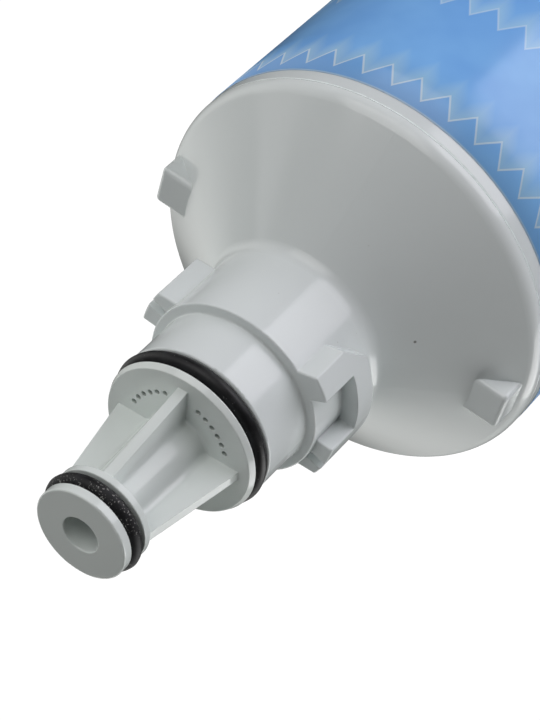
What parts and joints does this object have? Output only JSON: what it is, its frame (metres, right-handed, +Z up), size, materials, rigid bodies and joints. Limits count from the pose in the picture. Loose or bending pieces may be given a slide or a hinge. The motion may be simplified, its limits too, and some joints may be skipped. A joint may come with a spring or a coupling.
{
  "type": "water filter cartridge",
  "caption": "Sealed twist-in water filter cartridge: cylindrical body, conical shoulder, collar with bayonet lugs, and a ribbed nozzle with rubber seals, ring of inlet holes and central outlet",
  "frame": {"origin": "centre of the base, on the surface that the cartridge stands on", "axes": "+Z up the cartridge's axis to the nozzle tip; +X through one shoulder tab; +Y completes a right-handed frame"},
  "size_m": [0.0744, 0.0744, 0.245],
  "materials": {
    "white_plastic": "white injection-moulded polypropylene, satin to semi-gloss",
    "nozzle_plastic": "white injection-moulded plastic, semi-gloss, very slightly green-grey",
    "o_ring_rubber": "black nitrile rubber, lightly greased",
    "valve_rubber": "dark grey silicone rubber, satin",
    "label_film": null,
    "inner_plastic": "natural white plastic, matt",
    "spring_steel": "stainless spring wire",
    "carbon": "pressed activated carbon, black, porous",
    "fleece": "white non-woven polypropylene fleece",
    "netting": "white extruded plastic netting",
    "hot_melt": "hot-melt adhesive, milky"
  },
  "bodies": {
    "cartridge": {"head_cap": "white_plastic", "body_shell": "white_plastic", "label": "label_film", "nozzle_insert": "nozzle_plastic", "tip_o_ring": "o_ring_rubber", "neck_o_ring": "o_ring_rubber", "inlet_spring": "spring_steel", "spring_clip": "inner_plastic", "outlet_seat": "inner_plastic", "outlet_spring": "spring_steel", "top_end_cap": "inner_plastic", "stem_o_ring": "o_ring_rubber", "top_glue_ring": "hot_melt", "carbon_block": "carbon", "prefilter_wrap": "fleece", "outer_netting": "netting", "post_filter_sleeve": "fleece", "core_tube": "inner_plastic", "bottom_glue_ring": "hot_melt", "bottom_end_cap": "inner_plastic", "base_spring": "spring_steel"},
    "inlet_valve": {"inlet_valve_ring": "valve_rubber"},
    "outlet_valve": {"outlet_poppet": "inner_plastic", "poppet_seal": "valve_rubber"}
  },
  "joints": [
    {"name": "inlet_valve_slide", "type": "slide", "parent": "cartridge", "child": "inlet_valve", "axis": [0, 0, -1], "range_m": [0, 0.0015], "stiffness_N_per_m": 120, "springref_m": -0.0008, "deforming": ["inlet_spring"]},
    {"name": "outlet_valve_slide", "type": "slide", "parent": "cartridge", "child": "outlet_valve", "axis": [0, 0, 1], "range_m": [0, 0.0015], "stiffness_N_per_m": 80, "springref_m": -0.0008, "deforming": ["outlet_spring"]}
  ]
}
